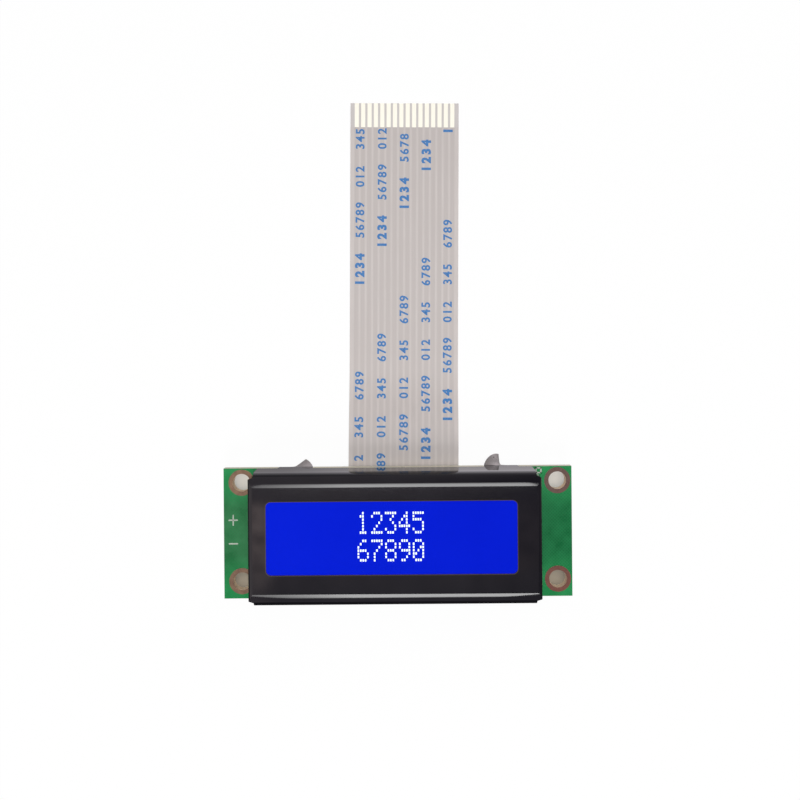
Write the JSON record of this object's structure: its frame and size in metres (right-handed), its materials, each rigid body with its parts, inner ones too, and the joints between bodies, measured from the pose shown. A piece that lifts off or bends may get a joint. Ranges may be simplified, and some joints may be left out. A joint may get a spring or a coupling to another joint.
{
  "type": "character lcd module",
  "caption": "Dot-matrix character display in a folded black bezel on a small board with corner holes and a soldered flat ribbon cable.",
  "frame": {"origin": "centre of the four mounting holes on the rear face of the circuit board", "axes": "+X along the board, +Y towards the free end of the ribbon cable, +Z out of the display face"},
  "size_m": [0.0532, 0.0781, 0.0103],
  "materials": {
    "bezel": "gloss black enamel on steel sheet",
    "circuit_board": "green solder mask on glass-epoxy laminate",
    "mounting_lands": "flashed copper",
    "front_polarizer": "clear glossy film",
    "front_glass": "polished",
    "crystal_layer": "lit blue",
    "cell_seal": "cured resin",
    "rear_glass": "polished",
    "rear_polarizer": "film",
    "elastomer_strips": "striped silicone",
    "elastomer_lands": "gold flash",
    "backlight_housing": "white moulded",
    "light_guide": "clear acrylic",
    "diffuser_film": "milky film",
    "reflector_film": "white film",
    "lamp_board": "white laminate",
    "lamps_white": "moulded lamp",
    "backlight_pins": "tinned",
    "pin_lands": "plated copper",
    "pin_solder": "bright solder",
    "driver_dies": "bare silicon",
    "epoxy_domes": "cured black epoxy",
    "resistor_bodies": "black glaze",
    "resistor_caps": "tinned",
    "capacitor_bodies": "fired",
    "capacitor_caps": "tinned",
    "chip_lands": "plated copper",
    "chip_solder": "bright solder",
    "ribbon_lands": "gold flash",
    "ribbon_solder": "bright solder",
    "ribbon_conductors": "tinned copper",
    "ribbon_upper_film": "pale grey film with blue print",
    "ribbon_lower_film": "pale grey film",
    "ribbon_stiffener": "pale grey film"
  },
  "bodies": {
    "root": {"bezel": "bezel", "circuit_board": "circuit_board", "mounting_lands": "mounting_lands", "front_polarizer": "front_polarizer", "front_glass": "front_glass", "crystal_layer": "crystal_layer", "cell_seal": "cell_seal", "rear_glass": "rear_glass", "rear_polarizer": "rear_polarizer", "elastomer_strips": "elastomer_strips", "elastomer_lands": "elastomer_lands", "backlight_housing": "backlight_housing", "light_guide": "light_guide", "diffuser_film": "diffuser_film", "reflector_film": "reflector_film", "lamp_board": "lamp_board", "lamps_white": "lamps_white", "backlight_pins": "backlight_pins", "pin_lands": "pin_lands", "pin_solder": "pin_solder", "driver_dies": "driver_dies", "epoxy_domes": "epoxy_domes", "resistor_bodies": "resistor_bodies", "resistor_caps": "resistor_caps", "capacitor_bodies": "capacitor_bodies", "capacitor_caps": "capacitor_caps", "chip_lands": "chip_lands", "chip_solder": "chip_solder", "ribbon_lands": "ribbon_lands", "ribbon_solder": "ribbon_solder", "ribbon_conductors": "ribbon_conductors", "ribbon_upper_film": "ribbon_upper_film", "ribbon_lower_film": "ribbon_lower_film", "ribbon_stiffener": "ribbon_stiffener"}
  },
  "joints": []
}
